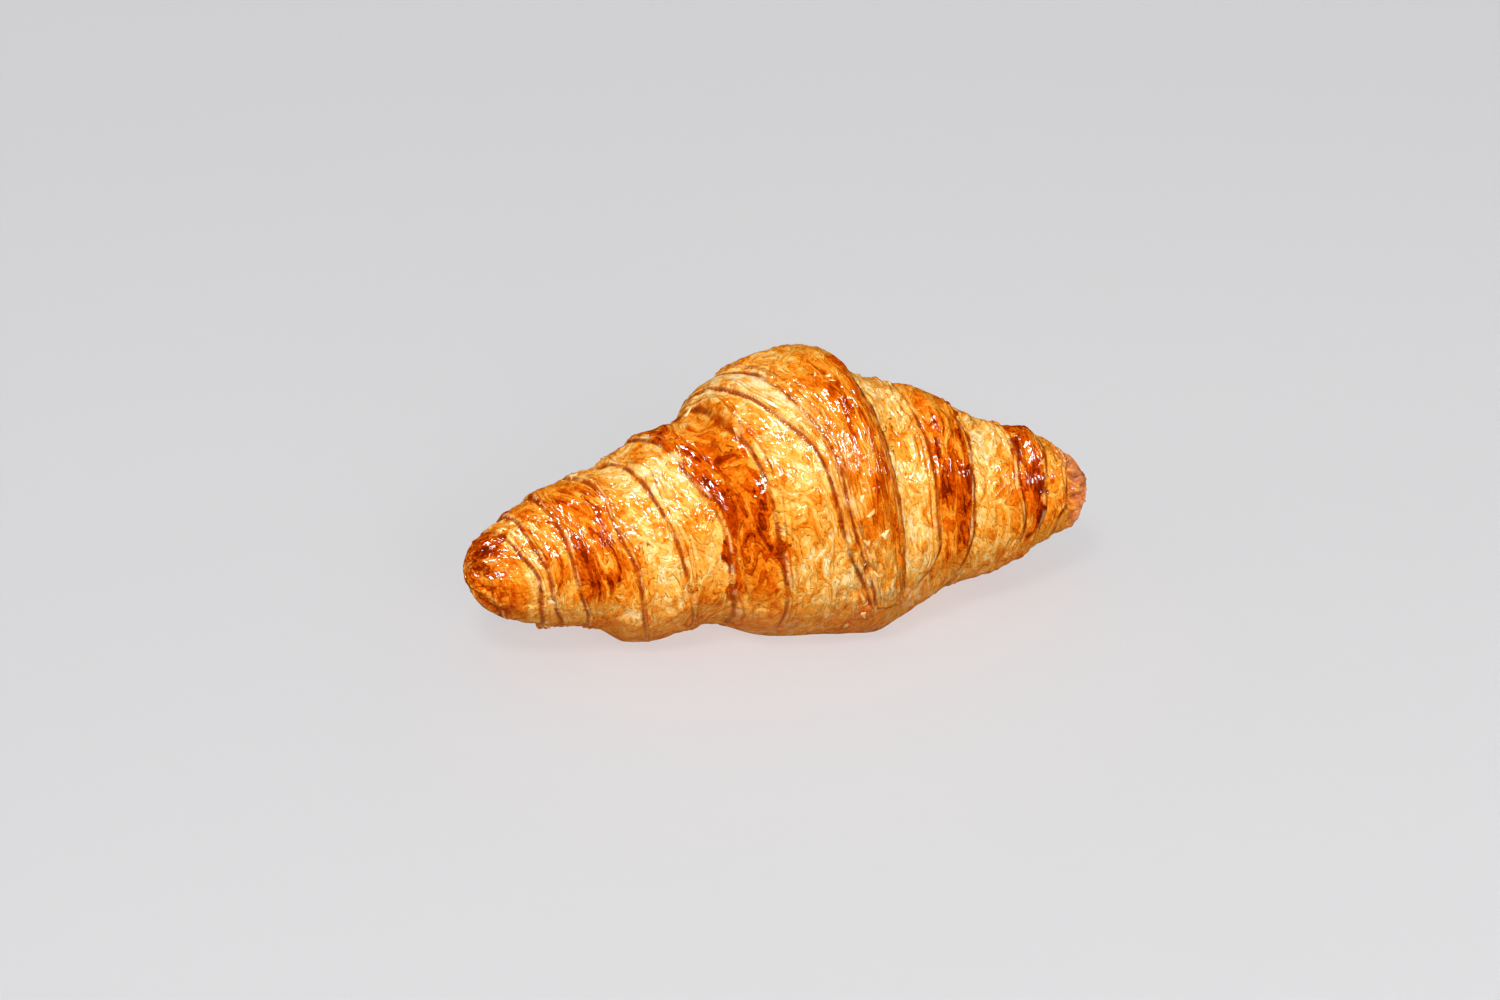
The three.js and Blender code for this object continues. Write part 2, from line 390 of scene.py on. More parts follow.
shape, kept_values = crust_shape()
shape = shape * MM
low_corner, high_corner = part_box("croissant")
middle_y = (shape[..., 1].min() + shape[..., 1].max()) / 2
shape[..., 1] += (low_corner.y + high_corner.y) / 2 - middle_y
tips = []
for row, corner_x in ((0, low_corner.x), (-1, high_corner.x)):
    ring = shape[row].mean(axis=0)
    tips.append((corner_x, ring[1], ring[2]))
crust_mesh = closed_skin("croissant_crust", shape, np.array(tips))
for name, values in kept_values.items():
    keep_on_points(crust_mesh, name, values)
crust = bpy.data.objects.new("croissant_crust", crust_mesh)
bpy.context.scene.collection.objects.link(crust)
crust_mesh.shade_smooth()


def add_node(tree, kind, values=(), **settings):
    """A node with its settings, and its inputs set to a number or joined to another node's output."""
    node = tree.nodes.new(kind)
    for name, value in settings.items():
        setattr(node, name, value)
    for name, value in dict(values).items():
        if isinstance(value, bpy.types.NodeSocket):
            tree.links.new(value, node.inputs[name])
        else:
            node.inputs[name].default_value = value
    return node


def calculate(tree, operation, first, second=0.0, third=0.0):
    """The output of one arithmetic node."""
    kind = "ShaderNodeMath"
    return add_node(tree, kind, {0: first, 1: second, 2: third}, operation=operation).outputs[0]


def rescale(tree, value, low, high, new_low=0.0, new_high=1.0, smooth=True):
    """Maps a range of values onto another, and holds it there."""
    names = {"Value": value, "From Min": low, "From Max": high, "To Min": new_low, "To Max": new_high}
    kind = "SMOOTHSTEP" if smooth else "LINEAR"
    return add_node(tree, "ShaderNodeMapRange", names, interpolation_type=kind).outputs[0]


# What the oven does to the skin, in metres: the dough puffs into soft lumps, the pale stretches
# wrinkle, the brushed ones dry into streaks, and the cut layers show as fine ridges.
RELIEF_INPUTS = [
    ("Lump width", 0.012), ("Lump height", 0.0009), ("Wrinkle width", 0.006),
    ("Wrinkle height", 0.0009), ("Streak width", 0.0036), ("Streak height", 0.0009),
    ("Layer spacing", 0.0016), ("Layer height", 0.00022), ("Seed", 3.0),
]

# The browning at which dough starts to count, and fully counts, as pale or as glazed, and how many
# metres above the table the skin is free to move.
PALE_BROWNING = (0.62, 0.34)
GLAZED_BROWNING = (0.4, 0.66)
FREE_OF_TABLE = 0.004

# Patterns of the relief: (stretch on each axis, detail, distortion, shift). Wrinkles rise where
# their pattern crosses its middle, and are weaker on glazed dough and where the dough lies calm.
LUMP_NOISE = ((1, 0.8, 0.8), 2.0, 0.3, 0.0)
WRINKLE_NOISE = ((1, 0.6, 0.6), 2.5, 1.0, 5.0)
STREAK_NOISE = ((1, 0.22, 0.22), 2.0, 0.6, 9.0)
LAYER_BREAKS = ((0.8, 1.4, 1.4), 1.0, 0.5, 14.0)
WRINKLE_RIDGE = 0.12
WRINKLE_SHARPNESS = 4.0
WRINKLES_ON_GLAZE = 0.25
CALMING = 0.85

# The cut layers are ridges beside each lip, which drift, and fade away from it and in places.
LAYER_DRIFT = 2.5
LAYERS_SHOW_WITHIN = (3.0, 0.5)
LAYER_FADE = (0.35, 0.6, 0.2, 1.3)


def oven_relief():
    """Moves the skin in and out the way the oven does, more on pale dough than on glazed."""
    tree = bpy.data.node_groups.new("oven_relief", "GeometryNodeTree")
    face = tree.interface
    face.new_socket("Geometry", in_out="INPUT", socket_type="NodeSocketGeometry")
    for name, value in RELIEF_INPUTS:
        face.new_socket(name, in_out="INPUT", socket_type="NodeSocketFloat").default_value = value
    face.new_socket("Crust", in_out="INPUT", socket_type="NodeSocketMaterial")
    face.new_socket("Geometry", in_out="OUTPUT", socket_type="NodeSocketGeometry")
    given = tree.nodes.new("NodeGroupInput").outputs
    position = tree.nodes.new("GeometryNodeInputPosition").outputs[0]
    normal = tree.nodes.new("GeometryNodeInputNormal").outputs[0]

    def stored(name):
        node = add_node(tree, "GeometryNodeInputNamedAttribute", {"Name": name}, data_type="FLOAT")
        return node.outputs["Attribute"]

    parts = add_node(tree, "ShaderNodeSeparateXYZ", {0: position}).outputs
    across = calculate(tree, "MULTIPLY", stored("across"), MM)
    wrapped = {0: across, 1: parts[1], 2: parts[2]}
    wrapped = add_node(tree, "ShaderNodeCombineXYZ", wrapped).outputs[0]

    def noise(width, kind):
        stretch, detail, distortion, offset = kind
        scale = calculate(tree, "DIVIDE", 1.0, width)
        stretched = {0: wrapped, 1: stretch}
        stretched = add_node(tree, "ShaderNodeVectorMath", stretched, operation="MULTIPLY").outputs[0]
        w = calculate(tree, "ADD", given["Seed"], offset)
        inputs = {
            "Vector": stretched, "W": w, "Scale": scale, "Detail": detail, "Distortion": distortion,
        }
        return add_node(tree, "ShaderNodeTexNoise", inputs, noise_dimensions="4D").outputs[0]

    def minus(first, second):
        return calculate(tree, "SUBTRACT", first, second)

    def times(first, second):
        return calculate(tree, "MULTIPLY", first, second)

    def plus(first, second):
        return calculate(tree, "ADD", first, second)

    brown = stored("browning")
    pale = rescale(tree, brown, *PALE_BROWNING)
    glazed = rescale(tree, brown, *GLAZED_BROWNING)
    free = rescale(tree, parts[2], 0.0, FREE_OF_TABLE)

    lump = minus(noise(given["Lump width"], LUMP_NOISE), 0.5)
    lump = times(times(lump, given["Lump height"]), 2.0)
    wrinkle = calculate(tree, "ABSOLUTE", minus(noise(given["Wrinkle width"], WRINKLE_NOISE), 0.5))
    wrinkle = minus(WRINKLE_RIDGE, wrinkle)
    wrinkle = times(times(wrinkle, given["Wrinkle height"]), WRINKLE_SHARPNESS)
    stirred = minus(1.0, times(stored("calm"), CALMING))
    amount = calculate(tree, "MULTIPLY_ADD", pale, 1 - WRINKLES_ON_GLAZE, WRINKLES_ON_GLAZE)
    wrinkle = times(wrinkle, times(amount, stirred))
    streak = minus(noise(given["Streak width"], STREAK_NOISE), 0.5)
    streak = times(times(times(streak, given["Streak height"]), 2.0), glazed)

    crest_at = stored("crest")
    spacing_in_mm = calculate(tree, "DIVIDE", given["Layer spacing"], MM)
    phase = times(calculate(tree, "DIVIDE", crest_at, spacing_in_mm), 2 * math.pi)
    broken = noise(given["Lump width"], LAYER_BREAKS)
    phase = calculate(tree, "MULTIPLY_ADD", broken, LAYER_DRIFT, phase)
    near = rescale(tree, calculate(tree, "ABSOLUTE", crest_at), *LAYERS_SHOW_WITHIN)
    layer = times(calculate(tree, "SINE", phase), near)
    layer = times(layer, given["Layer height"])
    layer = times(layer, rescale(tree, broken, *LAYER_FADE))

    rise = times(plus(plus(lump, wrinkle), plus(streak, layer)), free)
    offset = {0: normal, "Scale": rise}
    offset = add_node(tree, "ShaderNodeVectorMath", offset, operation="SCALE").outputs[0]
    moved = {"Geometry": given["Geometry"], "Offset": offset}
    moved = add_node(tree, "GeometryNodeSetPosition", moved).outputs[0]
    rise_in_mm = calculate(tree, "DIVIDE", rise, MM)
    kept = {"Geometry": moved, "Name": "rise", "Value": rise_in_mm}
    kept = add_node(
        tree, "GeometryNodeStoreNamedAttribute", kept, data_type="FLOAT", domain="POINT"
    )
    real = add_node(tree, "GeometryNodeRealizeInstances", {"Geometry": kept.outputs[0]})
    dressed = {"Geometry": real.outputs[0], "Material": given["Crust"]}
    dressed = add_node(tree, "GeometryNodeSetMaterial", dressed)
    out = tree.nodes.new("NodeGroupOutput")
    tree.links.new(dressed.outputs[0], out.inputs[0])
    return tree


def grow(target, tree, inputs):
    """Runs a geometry tree on a piece and leaves the result as its plain mesh."""
    modifier = target.modifiers.new(tree.name, "NODES")
    modifier.node_group = tree
    for item in tree.interface.items_tree:
        if item.item_type == "SOCKET" and item.in_out == "INPUT" and item.name in inputs:
            modifier[item.identifier] = inputs[item.name]
    target.update_tag()
    depsgraph = bpy.context.evaluated_depsgraph_get()
    result = bpy.data.meshes.new_from_object(target.evaluated_get(depsgraph), depsgraph=depsgraph)
    target.modifiers.remove(modifier)
    old = target.data
    target.data = result
    result.name = target.name
    bpy.data.meshes.remove(old)


def srgb(red, green, blue):
    """A colour as it is seen, turned into the linear light that shaders use."""
    seen = (red / 255, green / 255, blue / 255)
    return tuple(c / 12.92 if c <= 0.04045 else ((c + 0.055) / 1.055) ** 2.4 for c in seen) + (1.0,)


# Baked dough goes from cream through gold and amber to a burnt brown. The egg wash dries over it in
# thin flaking leaves with crisp edges, glossy where it is thick and matt where none was brushed.
BROWNING_COLOURS = [
    (0.00, srgb(254, 220, 162)), (0.12, srgb(249, 199, 116)), (0.26, srgb(244, 174, 78)),
    (0.40, srgb(236, 149, 44)), (0.53, srgb(226, 122, 18)), (0.66, srgb(208, 91, 6)),
    (0.80, srgb(178, 60, 0)), (0.92, srgb(146, 38, 0)), (1.00, srgb(104, 24, 0)),
]
# Deep brown for the fine layer lines, and for the crease, where it also stands for painted shade.
CREASE_BROWN_AND_SHADE = srgb(152, 50, 4)
# The pale rim on each lip: partly paler dough, partly a painted highlight where light catches the
# lip.
PALE_RIM_AND_HIGHLIGHT = srgb(250, 208, 140)
UNDER_COLOUR = srgb(222, 136, 60)
SEARED_COLOUR = srgb(208, 112, 62)
BARE_COLOUR = srgb(218, 140, 92)

# The patterns in the crust: (width in millimetres, stretch round the roll, detail, distortion,
# shift). Streaks run round the roll, and along it where it is pinched.
CLOUDS = (11.0, 0.7, 3.0, 0.8, 31.0)
SWIRLS = (4.2, 0.6, 2.5, 1.8, 7.0)
STREAKS = (3.3, 0.28, 2.5, 1.4, 19.0)
PINCHES = (2.6, 3.0, 3.0, 0.8, 19.0)
SPECKS = (1.1, 0.7, 3.0, 1.2, 83.0)
SEARED = (13.0, 0.8, 3.0, 1.0, 53.0)
BREAKS = (9.0, 1.2, 2.0, 0.5, 12.0)
RIM_BREAKS = (7.0, 1.3, 2.0, 0.5, 29.0)
LINE_DRIFT = (14.0, 1.0, 1.0, 0.3, 66.0)
WETNESS = (6.0, 0.6, 3.0, 1.0, 91.0)
WASH_SWIRLS = (3.4, 0.45, 1.3, 1.8, 7.0)
WASH_STREAKS = (3.0, 0.35, 1.3, 1.4, 19.0)
WASH_THICKNESS = 0.7
BLISTER_PATCHES = (9.0, 0.8, 1.0, 0.5, 47.0)

# How much each pattern changes the browning, and how the dried egg wash splits into leaves.
BAKED_DARKER = 0.05
CLOUD_SHARE = 0.6
PALE_LEAF_SHARE = 1.25
GLAZED_LEAF_SHARE = 1.5
SPECK_SHARE = 0.6
RISEN_PALER = -0.1
LEAVES = 8.0
LEAF_EDGE = 0.3
LEAF_THICKNESS = 0.36
GLAZE_FROM = (0.4, 0.62)

# Lines where the layers end: dark in the crease, partly deeper brown and partly painted shade, thin
# and brown beside it, pale on the rim, partly paler dough and partly a painted highlight. Each line
# comes and goes, between two levels of its own pattern, and fades close to the table.
CREASE_WIDTH = (0.7, 0.15)
CREASE_STRENGTH = 0.95
CREASE_DEPTH = -0.35
LINE_BREAKS = (0.34, 0.54, 0.35, 1.0)
LINES_LOW = (2.0, 14.0, 0.3, 1.0)
LAYER_LINES = ((0, 0.55), (1, 0.35), (2, 0.2))
LAYER_LINE_START = 0.4
LAYER_LINE_SPACING = 1.25
LAYER_LINE_HALF = 0.36
LINE_WAVER = 2.5
LINE_CORE = 0.2
RIM_LEVELS = (0.46, 0.6)
RIM_PLACE = -0.2
RIM_HALF = 0.6
RIM_STRENGTH = 0.45

# Underneath the crust is tan and dry, and seared in patches. The bare end is matt all over.
UNDERNEATH = (24.0, 3.0, 0.0, 0.62)
SEARED_LEVELS = (0.45, 0.6)
BARE_LEVELS = (0.36, 0.6, 0.1, 1.0)

# Fine relief in millimetres: small blisters in patches, and specks. The leaves of egg wash lie
# flatter where the dough is calm.
BLISTER_SPACING = 2.6
BLISTER_EDGE = (0.3, 0.05)
BLISTER_LEVELS = (0.5, 0.62)
BLISTER_HEIGHT = 0.22
SPECK_HEIGHT = 0.55
CALM_RELIEF = -0.7

# The crust is rougher where the egg wash is thin, towards the table, and on the bare end.
WET_ROUGHNESS = (0.38, 0.62, 0.34, 0.2)
DRY_BELOW = (18.0, 4.0, 0.0, 0.25)
BARE_ROUGHNESS = 0.3

# The egg wash dries to a clear, smooth varnish. Under it, light sinks a little way into the dough.
WASH_GLOSS = 0.6
BARE_GLOSS_LOSS = -0.35
WASH_ROUGHNESS = 0.03
WASH_IOR = 1.5
DOUGH_IOR = 1.4
DOUGH_GLOW = 0.05
GLOW_DEPTH = 0.002
GLOW_REACH = (0.9, 0.45, 0.2)


def crust_material():
    """The crust's colour, gloss and fine relief, which follow how far each spot has browned."""
    material = bpy.data.materials.new("egg_washed_crust")
    material.use_nodes = True
    tree = material.node_tree
    tree.nodes.clear()
    place_on = tree.nodes.new("ShaderNodeTexCoord").outputs["Object"]
    to_mm = {"Vector": place_on, "Scale": (1 / MM, 1 / MM, 1 / MM)}
    in_mm = add_node(tree, "ShaderNodeMapping", to_mm).outputs[0]

    def stored(name):
        return add_node(tree, "ShaderNodeAttribute", attribute_name=name).outputs["Fac"]

    parts = add_node(tree, "ShaderNodeSeparateXYZ", {0: in_mm}).outputs
    height = parts[2]
    wrapped = {0: stored("across"), 1: parts[1], 2: height}
    wrapped = add_node(tree, "ShaderNodeCombineXYZ", wrapped).outputs[0]

    def pattern(kind):
        width, stretch, detail, distortion, shift = kind
        placing = {"Vector": wrapped, "Scale": (1, stretch, stretch), "Location": (shift,) * 3}
        placed = add_node(tree, "ShaderNodeMapping", placing).outputs[0]
        inputs = {"Vector": placed, "Scale": 1 / width, "Detail": detail, "Distortion": distortion}
        return add_node(tree, "ShaderNodeTexNoise", inputs).outputs["Fac"]

    def times(first, second):
        return calculate(tree, "MULTIPLY", first, second)

    def plus(total, part, share=1.0, centre=0.0):
        part = calculate(tree, "SUBTRACT", part, centre)
        return calculate(tree, "MULTIPLY_ADD", part, share, total)

    def between(first, second, share):
        return plus(first, calculate(tree, "SUBTRACT", second, first), share)

    def leaves(value):
        """Turns a smooth pattern into flat leaves with crisp edges."""
        scaled = times(value, LEAVES)
        edge = rescale(tree, calculate(tree, "FRACT", scaled), 1 - LEAF_EDGE, 1.0)
        whole = calculate(tree, "ADD", calculate(tree, "FLOOR", scaled), edge)
        return calculate(tree, "DIVIDE", whole, LEAVES)

    def line(distance, centre, half_width):
        away = calculate(tree, "ABSOLUTE", calculate(tree, "SUBTRACT", distance, centre))
        return rescale(tree, away, half_width, LINE_CORE * half_width)

    def tint(share, first, second):
        node = add_node(tree, "ShaderNodeMix", {0: share, 6: first, 7: second}, data_type="RGBA")
        return node.outputs[2]

    brown = stored("browning")
    crest = stored("crest")
    tip = stored("tip")
    bare = stored("bare")
    glazed = rescale(tree, brown, *GLAZE_FROM)

    streaked = between(pattern(STREAKS), pattern(PINCHES), tip)
    swirl_leaves = leaves(pattern(SWIRLS))
    streak_leaves = leaves(streaked)
    specks = pattern(SPECKS)

    tone = plus(plus(brown, 1.0, BAKED_DARKER), pattern(CLOUDS), CLOUD_SHARE, 0.5)
    on_pale = times(calculate(tree, "SUBTRACT", swirl_leaves, 0.5), PALE_LEAF_SHARE)
    on_glaze = times(calculate(tree, "SUBTRACT", streak_leaves, 0.5), GLAZED_LEAF_SHARE)
    tone = plus(tone, between(on_pale, on_glaze, glazed))
    tone = plus(tone, specks, SPECK_SHARE, 0.5)
    tone = plus(tone, stored("rise"), RISEN_PALER)

    ramp = tree.nodes.new("ShaderNodeValToRGB")
    stops = ramp.color_ramp.elements
    for at, colour in BROWNING_COLOURS[1:-1]:
        stops.new(at).color = colour
    stops[0].color = BROWNING_COLOURS[0][1]
    stops[-1].color = BROWNING_COLOURS[-1][1]
    tree.links.new(tone, ramp.inputs[0])

    low = rescale(tree, height, *LINES_LOW)
    broken = times(rescale(tree, pattern(BREAKS), *LINE_BREAKS), low)
    # The crease darkens towards deep brown: partly its own colour, partly painted shade under the
    # lip.
    crease = times(rescale(tree, stored("foot"), *CREASE_WIDTH), broken)
    colour = tint(times(crease, CREASE_STRENGTH), ramp.outputs[0], CREASE_BROWN_AND_SHADE)
    drifting = plus(crest, pattern(LINE_DRIFT), LINE_WAVER, 0.5)
    for count, strength in LAYER_LINES:
        line_place = (count + LAYER_LINE_START) * LAYER_LINE_SPACING
        layer_line = line(drifting, line_place, LAYER_LINE_HALF)
        colour = tint(times(times(layer_line, broken), strength), colour, CREASE_BROWN_AND_SHADE)
    # A pale line along each lip's crest, partly paler dough and partly a painted highlight.
    rim_broken = rescale(tree, pattern(RIM_BREAKS), *RIM_LEVELS)
    rim = times(line(crest, RIM_PLACE, RIM_HALF), rim_broken)
    colour = tint(times(rim, RIM_STRENGTH), colour, PALE_RIM_AND_HIGHLIGHT)
    underneath = rescale(tree, height, *UNDERNEATH)
    seared = rescale(tree, pattern(SEARED), *SEARED_LEVELS)
    colour = tint(underneath, colour, tint(seared, UNDER_COLOUR, SEARED_COLOUR))
    bare_streaks = rescale(tree, streaked, *BARE_LEVELS)
    colour = tint(times(bare, bare_streaks), colour, BARE_COLOUR)

    spots = {"Vector": in_mm, "Scale": 1 / BLISTER_SPACING}
    spots = add_node(tree, "ShaderNodeTexVoronoi", spots).outputs["Distance"]
    blisters = rescale(tree, spots, *BLISTER_EDGE)
    blisters = times(blisters, rescale(tree, pattern(BLISTER_PATCHES), *BLISTER_LEVELS))
    leaf_height = between(swirl_leaves, streak_leaves, glazed)
    calm = calculate(tree, "MULTIPLY_ADD", stored("calm"), CALM_RELIEF, 1.0)
    relief = times(times(leaf_height, LEAVES * LEAF_THICKNESS), calm)
    relief = plus(relief, blisters, BLISTER_HEIGHT)
    relief = plus(relief, specks, SPECK_HEIGHT)
    relief = plus(relief, crease, CREASE_DEPTH)
    bump = add_node(tree, "ShaderNodeBump", {"Height": relief, "Distance": MM, "Strength": 1.0})
    wash = between(pattern(WASH_SWIRLS), pattern(WASH_STREAKS), glazed)
    wash = times(times(wash, WASH_THICKNESS), calm)
    wash = plus(wash, blisters, BLISTER_HEIGHT)
    gloss = add_node(tree, "ShaderNodeBump", {"Height": wash, "Distance": MM, "Strength": 1.0})

    wet = rescale(tree, pattern(WETNESS), *WET_ROUGHNESS)
    dry = rescale(tree, height, *DRY_BELOW)
    rough = calculate(tree, "ADD", calculate(tree, "ADD", wet, dry), times(bare, BARE_ROUGHNESS))
    coat = calculate(tree, "MULTIPLY_ADD", bare, BARE_GLOSS_LOSS, WASH_GLOSS)
    skin = {
        "Base Color": colour, "Roughness": rough, "Normal": bump.outputs[0], "IOR": DOUGH_IOR,
        "Specular IOR Level": 0.0, "Subsurface Weight": DOUGH_GLOW, "Subsurface Scale": GLOW_DEPTH,
        "Subsurface Radius": GLOW_REACH, "Coat Weight": coat, "Coat Roughness": WASH_ROUGHNESS,
        "Coat IOR": WASH_IOR, "Coat Normal": gloss.outputs[0],
    }
    skin = add_node(tree, "ShaderNodeBsdfPrincipled", skin)
    out = tree.nodes.new("ShaderNodeOutputMaterial")
    tree.links.new(skin.outputs[0], out.inputs[0])
    return material


egg_washed = crust_material()
relief_values = dict(RELIEF_INPUTS)
relief_values["Crust"] = egg_washed
grow(crust, oven_relief(), relief_values)
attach(crust, "root")
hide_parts("croissant")

# ----------------------------------------------------------------------------------------------
# Loose flakes. Thin dry scraps of the outermost leaf of dough, which lift and curl along the lips
# and round the point of the roll, and are still joined to the crust by one edge.
# ----------------------------------------------------------------------------------------------

# One scrap, in metres. It narrows, rounds off, lifts and frays away from the side it is joined by.
FLAKE_LENGTH = 0.0030
FLAKE_WIDTH = 0.0018
FLAKE_THICKNESS = 0.00012
FLAKE_LIFT = 0.00055
FLAKE_SINK = 0.00014
FLAKE_CELLS = (4, 3)
FLAKE_NARROWING = 0.55
FLAKE_ROUNDING = 0.35
FLAKE_FRAYING = 0.12
FLAKE_SHAPE = 5
FLAKE_OVERLAP = FLAKE_WIDTH / 3

# Its colours and grain, and how the scraps are scattered: how many, how large and how tilted.
FLAKE_COLOURS = [
    (0.0, srgb(214, 128, 52)), (0.45, srgb(238, 172, 92)), (1.0, srgb(252, 214, 148)),
]
FLAKE_SHADES = {"Scale": 0.22, "Detail": 3.0}
FLAKE_SHADE_LEVELS = (0.34, 0.66)
FLAKE_GRAIN = {"Scale": 1.6, "Detail": 2.0}
FLAKE_GRAIN_DEPTH = 0.15
FLAKE_ROUGHNESS = (0.3, 0.7, 0.35, 0.5)
FLAKE_INPUTS = [
    ("Flakes per square metre", 42000.0), ("Smallest", 0.45), ("Largest", 1.25), ("Tilt", 0.16),
    ("Seed", 12.0),
]


def one_flake():
    """A closed thin scrap that lies flat along one side, and curls up and frays along the other."""
    random = np.random.default_rng(FLAKE_SHAPE)
    cells_long, cells_wide = FLAKE_CELLS
    corners = []
    for layer in (0, 1):
        for i in range(cells_long + 1):
            for j in range(cells_wide + 1):
                along = i / cells_long
                out = j / cells_wide
                from_middle = (2 * along - 1) ** 2
                x = (along - 0.5) * FLAKE_LENGTH * (1 - FLAKE_NARROWING * out * from_middle)
                frayed = random.uniform(-FLAKE_FRAYING, FLAKE_FRAYING)
                y = out * FLAKE_WIDTH * (1 - FLAKE_ROUNDING * from_middle + frayed)
                z = FLAKE_LIFT * out**2 - FLAKE_SINK + layer * FLAKE_THICKNESS
                corners.append((x, y - FLAKE_OVERLAP, z))
    per_row = cells_wide + 1
    per_layer = (cells_long + 1) * per_row
    faces = []
    for i in range(cells_long):
        for j in range(cells_wide):
            a = i * per_row + j
            b = a + per_row
            faces.append((a, a + 1, b + 1, b))
            faces.append(tuple(k + per_layer for k in (a, b, b + 1, a + 1)))
    rim = [i * per_row for i in range(cells_long + 1)]
    rim += [cells_long * per_row + j for j in range(1, cells_wide + 1)]
    rim += [i * per_row + cells_wide for i in range(cells_long - 1, -1, -1)]
    rim += list(range(cells_wide - 1, 0, -1))
    for a, b in zip(rim, rim[1:] + rim[:1]):
        faces.append((a, b, b + per_layer, a + per_layer))
    mesh = bpy.data.meshes.new("one_flake")
    mesh.from_pydata(corners, [], faces)
    mesh.validate()
    mesh.shade_smooth()
    return bpy.data.objects.new("one_flake", mesh)


def flake_material():
    """Dry dough, cream where it is thickest, brown where it caught the heat."""
    material = bpy.data.materials.new("dry_flake")
    material.use_nodes = True
    tree = material.node_tree
    tree.nodes.clear()
    place_on = tree.nodes.new("ShaderNodeTexCoord").outputs["Object"]
    to_mm = {"Vector": place_on, "Scale": (1 / MM, 1 / MM, 1 / MM)}
    in_mm = add_node(tree, "ShaderNodeMapping", to_mm).outputs[0]
    shade = add_node(tree, "ShaderNodeTexNoise", {"Vector": in_mm, **FLAKE_SHADES})
    grain = add_node(tree, "ShaderNodeTexNoise", {"Vector": in_mm, **FLAKE_GRAIN})
    tone = rescale(tree, shade.outputs["Fac"], *FLAKE_SHADE_LEVELS)
    ramp = tree.nodes.new("ShaderNodeValToRGB")
    ramp.color_ramp.elements.new(FLAKE_COLOURS[1][0])
    for stop, (at, colour) in zip(ramp.color_ramp.elements, FLAKE_COLOURS):
        stop.position = at
        stop.color = colour
    tree.links.new(tone, ramp.inputs[0])
    bump = {"Height": grain.outputs["Fac"], "Distance": FLAKE_GRAIN_DEPTH * MM, "Strength": 1.0}
    bump = add_node(tree, "ShaderNodeBump", bump).outputs[0]
    rough = rescale(tree, grain.outputs["Fac"], *FLAKE_ROUGHNESS)
    skin = {"Base Color": ramp.outputs[0], "Roughness": rough, "Normal": bump, "IOR": DOUGH_IOR}
    skin = add_node(tree, "ShaderNodeBsdfPrincipled", skin)
    out = tree.nodes.new("ShaderNodeOutputMaterial")
    tree.links.new(skin.outputs[0], out.inputs[0])
    return material


def scattered_flakes():
    """Scatters copies of one flake over the crust where it is flaking, each turned its own way."""
    tree = bpy.data.node_groups.new("scattered_flakes", "GeometryNodeTree")
    face = tree.interface
    face.new_socket("Geometry", in_out="INPUT", socket_type="NodeSocketGeometry")
    face.new_socket("Flake", in_out="INPUT", socket_type="NodeSocketObject")
    face.new_socket("Material", in_out="INPUT", socket_type="NodeSocketMaterial")
    for name, value in FLAKE_INPUTS:
        face.new_socket(name, in_out="INPUT", socket_type="NodeSocketFloat").default_value = value
    face.new_socket("Geometry", in_out="OUTPUT", socket_type="NodeSocketGeometry")
    given = tree.nodes.new("NodeGroupInput").outputs
    flaking = {"Name": "flaking"}
    flaking = add_node(tree, "GeometryNodeInputNamedAttribute", flaking, data_type="FLOAT")
    flaking = flaking.outputs["Attribute"]
    density = calculate(tree, "MULTIPLY", flaking, given["Flakes per square metre"])
    whole_seed = add_node(tree, "FunctionNodeFloatToInt", {0: given["Seed"]}).outputs[0]
    spots = {"Mesh": given["Geometry"], "Density": density, "Seed": whole_seed}
    spots = add_node(tree, "GeometryNodeDistributePointsOnFaces", spots)
    tilt = given["Tilt"]
    tilt_back = calculate(tree, "MULTIPLY", tilt, -1.0)
    lowest = {0: tilt_back, 1: tilt_back, 2: -math.pi}
    lowest = add_node(tree, "ShaderNodeCombineXYZ", lowest).outputs[0]
    highest = {0: tilt, 1: tilt, 2: math.pi}
    highest = add_node(tree, "ShaderNodeCombineXYZ", highest).outputs[0]
    own_turn = add_node(tree, "FunctionNodeRandomValue", data_type="FLOAT_VECTOR")
    tree.links.new(lowest, own_turn.inputs[0])
    tree.links.new(highest, own_turn.inputs[1])
    tree.links.new(whole_seed, own_turn.inputs["Seed"])
    as_rotation = {0: own_turn.outputs[0]}
    as_rotation = add_node(tree, "FunctionNodeEulerToRotation", as_rotation).outputs[0]
    turned = {"Rotation": spots.outputs["Rotation"], "Rotate By": as_rotation}
    turned = add_node(tree, "FunctionNodeRotateRotation", turned, rotation_space="LOCAL").outputs[0]
    size = add_node(tree, "FunctionNodeRandomValue", data_type="FLOAT")
    tree.links.new(given["Smallest"], size.inputs[2])
    tree.links.new(given["Largest"], size.inputs[3])
    tree.links.new(whole_seed, size.inputs["Seed"])
    flake = add_node(tree, "GeometryNodeObjectInfo", {"Object": given["Flake"]})
    placed = {
        "Points": spots.outputs["Points"], "Instance": flake.outputs["Geometry"],
        "Rotation": turned, "Scale": size.outputs[1],
    }
    placed = add_node(tree, "GeometryNodeInstanceOnPoints", placed).outputs[0]
    real = add_node(tree, "GeometryNodeRealizeInstances", {"Geometry": placed}).outputs[0]
    dressed = {"Geometry": real, "Material": given["Material"]}
    dressed = add_node(tree, "GeometryNodeSetMaterial", dressed).outputs[0]
    out = tree.nodes.new("NodeGroupOutput")
    tree.links.new(dressed, out.inputs[0])
    return tree


